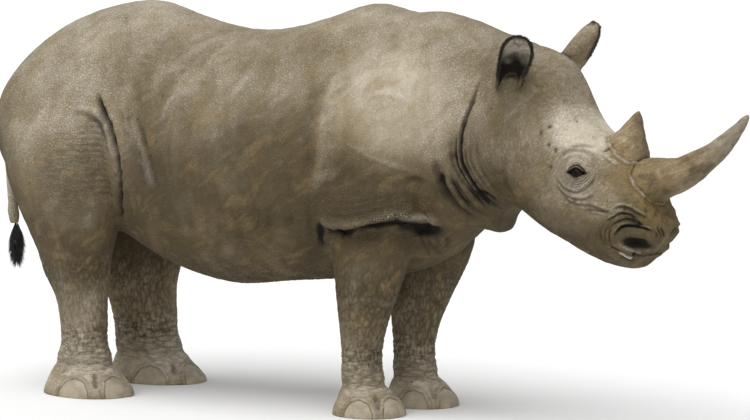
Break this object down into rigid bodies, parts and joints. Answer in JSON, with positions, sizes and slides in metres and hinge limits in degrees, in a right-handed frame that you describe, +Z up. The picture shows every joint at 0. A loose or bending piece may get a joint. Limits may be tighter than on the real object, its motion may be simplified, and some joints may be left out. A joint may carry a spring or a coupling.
{
  "type": "rhinoceros",
  "caption": "Standing white rhinoceros as a still life-size model: square muzzle, long curved front horn and low rear horn, head turned slightly to its right.",
  "frame": {"origin": "middle of the floor under the animal, at the centre of its box", "axes": "+X forward to the head, +Y to the animal's left, +Z up"},
  "size_m": [3.8316, 0.9506, 1.7327],
  "materials": {
    "skin": "dry wrinkled hide, grey-tan with ochre patches",
    "horn": "worn fibrous horn, olive brown, pale and cracked at the base",
    "toenail": "dull pale nail with faint growth lines",
    "hair": "coarse black hair",
    "eye": "wet, very dark brown"
  },
  "bodies": {
    "root": {"trunk": "skin", "neck": "skin", "head": "skin", "lower_jaw": "skin", "tail": "skin", "ear_right": "skin", "ear_left": "skin", "tail_tuft": "hair", "eye_right": "eye", "eye_left": "eye", "horn_front": "horn", "horn_rear": "horn", "leg_hind_right": "skin", "foot_hind_right": "skin", "toenail_hind_right_inner": "toenail", "toenail_hind_right_middle": "toenail", "toenail_hind_right_outer": "toenail", "leg_hind_left": "skin", "foot_hind_left": "skin", "toenail_hind_left_inner": "toenail", "toenail_hind_left_middle": "toenail", "toenail_hind_left_outer": "toenail", "leg_front_right": "skin", "foot_front_right": "skin", "toenail_front_right_inner": "toenail", "toenail_front_right_middle": "toenail", "toenail_front_right_outer": "toenail", "leg_front_left": "skin", "foot_front_left": "skin", "toenail_front_left_inner": "toenail", "toenail_front_left_middle": "toenail", "toenail_front_left_outer": "toenail"}
  },
  "joints": []
}
